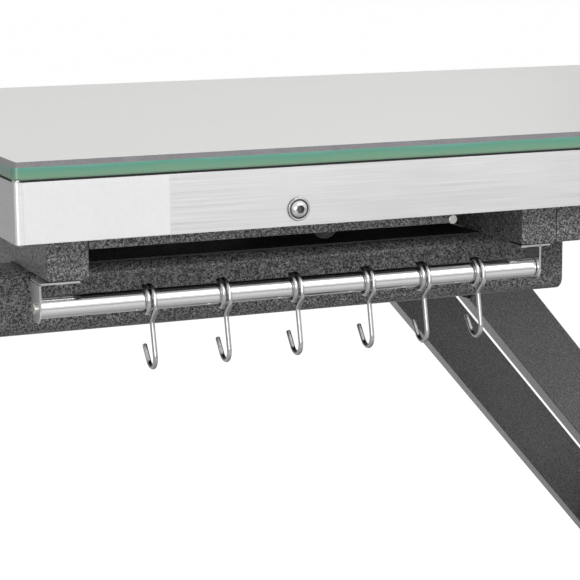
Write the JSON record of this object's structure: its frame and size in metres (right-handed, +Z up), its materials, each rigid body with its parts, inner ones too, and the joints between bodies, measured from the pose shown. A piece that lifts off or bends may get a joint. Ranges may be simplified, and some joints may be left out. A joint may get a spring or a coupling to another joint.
{
  "type": "pet grooming table",
  "caption": "Rectangular glass-topped grooming table in a stainless frame, on an electric scissor lift, with a rail of leash hooks under the front edge",
  "frame": {"origin": "on the floor under the middle of the glass top", "axes": "+X along the front edge to the right, +Y from front to back, +Z up"},
  "size_m": [1.25, 0.6558, 1.0019],
  "materials": {
    "glass": "tempered float glass, opaque pale grey from above, green edges",
    "seal": "black rubber gasket",
    "stainless": "stainless sheet brushed along its length",
    "bracket_steel": "thin bright steel with small screws",
    "board": "plain plywood",
    "dark_paint": "dark grey hammered powder coat with light speckle",
    "chrome": "bright chrome plate",
    "hook_wire": "bright drawn wire",
    "bright_steel": "ground steel bar",
    "zinc": "zinc plated bolts and nuts",
    "nylon": "off-white nylon",
    "actuator_alloy": "satin anodised tube",
    "black_plastic": "black textured moulding",
    "pedal_plastic": "black ribbed rocker",
    "rubber_feet": "black rubber feet"
  },
  "bodies": {
    "base": {"base_rail_front": "dark_paint", "base_rail_rear": "dark_paint", "base_tube_left": "dark_paint", "base_tube_middle": "dark_paint", "base_tube_right": "dark_paint", "base_pivot_bolt_front": "zinc", "base_pivot_bolt_rear": "zinc", "actuator_tail_bolt": "zinc", "actuator_tube": "actuator_alloy", "actuator_gearbox": "black_plastic", "actuator_motor": "black_plastic", "control_box": "black_plastic", "mains_inlet": "black_plastic", "pedal_housing": "black_plastic", "foot_front_left": "rubber_feet", "foot_front_right": "rubber_feet", "foot_rear_left": "rubber_feet", "foot_rear_right": "rubber_feet"},
    "arms_a": {"arm_a_front": "dark_paint", "arm_a_rear": "dark_paint", "arm_a_upper_tube": "dark_paint", "arm_a_lower_tube": "dark_paint", "top_roller_shaft": "bright_steel", "centre_shaft": "bright_steel"},
    "arms_b": {"arm_b_front": "dark_paint", "arm_b_rear": "dark_paint", "arm_b_lower_tube": "dark_paint", "bottom_roller_shaft": "bright_steel"},
    "top": {"glass_top": "glass", "glass_gasket": "seal", "steel_frame": "stainless", "support_board": "board", "cross_tube_left": "dark_paint", "cross_tube_middle": "dark_paint", "cross_tube_pivot": "dark_paint", "cross_tube_right": "dark_paint", "side_tube_front": "dark_paint", "side_tube_rear": "dark_paint", "rail_cover": "dark_paint", "edge_strip_front": "dark_paint", "edge_strip_rear": "dark_paint", "top_rail_front": "dark_paint", "top_rail_rear": "dark_paint", "top_pivot_bolt_front": "zinc", "top_pivot_bolt_rear": "zinc", "hook_rail": "chrome", "rail_bracket_left": "bracket_steel", "rail_bracket_right": "bracket_steel"},
    "rod": {"pull_rod": "chrome"},
    "pedal": {"foot_pedal": "pedal_plastic"},
    "roller_top_front": {"top_roller_front": "nylon"},
    "roller_top_rear": {"top_roller_rear": "nylon"},
    "roller_bottom_front": {"bottom_roller_front": "nylon"},
    "roller_bottom_rear": {"bottom_roller_rear": "nylon"},
    "hook_body_1": {"hook_1": "hook_wire"},
    "hook_body_2": {"hook_2": "hook_wire"},
    "hook_body_3": {"hook_3": "hook_wire"},
    "hook_body_4": {"hook_4": "hook_wire"},
    "hook_body_5": {"hook_5": "hook_wire"},
    "hook_body_6": {"hook_6": "hook_wire"}
  },
  "joints": [
    {"name": "lift", "type": "hinge", "parent": "base", "child": "arms_a", "pos_m": [0.513, 0, 0.0676], "axis": [0, 1, 0], "range_deg": [-39.1, 0]},
    {"name": "scissor_centre", "type": "hinge", "parent": "arms_a", "child": "arms_b", "pos_m": [0.16345, 0, 0.4792], "axis": [0, 1, 0], "range_deg": [0, 78.2]},
    {"name": "top_level", "type": "hinge", "parent": "arms_b", "child": "top", "pos_m": [0.513, 0, 0.89079], "axis": [0, 1, 0], "range_deg": [-39.1, 0]},
    {"name": "rod_level", "type": "hinge", "parent": "arms_b", "child": "rod", "pos_m": [-0.18611, 0, 0.0676], "axis": [0, 1, 0], "range_deg": [-39.1, 0]},
    {"name": "top_roller_front_spin", "type": "hinge", "parent": "arms_a", "child": "roller_top_front", "pos_m": [-0.18611, -0.2233, 0.89079], "axis": [0, 1, 0], "continuous": true},
    {"name": "top_roller_rear_spin", "type": "hinge", "parent": "arms_a", "child": "roller_top_rear", "pos_m": [-0.18611, 0.2233, 0.89079], "axis": [0, 1, 0], "continuous": true},
    {"name": "bottom_roller_front_spin", "type": "hinge", "parent": "arms_b", "child": "roller_bottom_front", "pos_m": [-0.18611, -0.2233, 0.0676], "axis": [0, 1, 0], "continuous": true},
    {"name": "bottom_roller_rear_spin", "type": "hinge", "parent": "arms_b", "child": "roller_bottom_rear", "pos_m": [-0.18611, 0.2233, 0.0676], "axis": [0, 1, 0], "continuous": true},
    {"name": "hook_1_swing", "type": "hinge", "parent": "top", "child": "hook_body_1", "pos_m": [-0.52029, -0.294, 0.89679], "axis": [1, 0, 0], "range_deg": [-74, 50]},
    {"name": "hook_2_swing", "type": "hinge", "parent": "top", "child": "hook_body_2", "pos_m": [-0.4642, -0.294, 0.89679], "axis": [1, 0, 0], "range_deg": [-74, 50]},
    {"name": "hook_3_swing", "type": "hinge", "parent": "top", "child": "hook_body_3", "pos_m": [-0.40833, -0.294, 0.89679], "axis": [1, 0, 0], "range_deg": [-74, 50]},
    {"name": "hook_4_swing", "type": "hinge", "parent": "top", "child": "hook_body_4", "pos_m": [-0.35091, -0.294, 0.89679], "axis": [1, 0, 0], "range_deg": [-74, 50]},
    {"name": "hook_5_swing", "type": "hinge", "parent": "top", "child": "hook_body_5", "pos_m": [-0.30536, -0.294, 0.89679], "axis": [1, 0, 0], "range_deg": [-74, 50]},
    {"name": "hook_6_swing", "type": "hinge", "parent": "top", "child": "hook_body_6", "pos_m": [-0.25982, -0.294, 0.89679], "axis": [1, 0, 0], "range_deg": [-74, 50]},
    {"name": "pedal_rock", "type": "hinge", "parent": "base", "child": "pedal", "pos_m": [0, -0.27, 0.064], "axis": [0, 1, 0], "range_deg": [-4, 4], "stiffness_Nm_per_rad": 8}
  ],
  "couplings": [
    {"joint": "scissor_centre", "follows": "lift", "ratio": -2},
    {"joint": "top_level", "follows": "lift", "ratio": 1},
    {"joint": "rod_level", "follows": "lift", "ratio": 1}
  ]
}
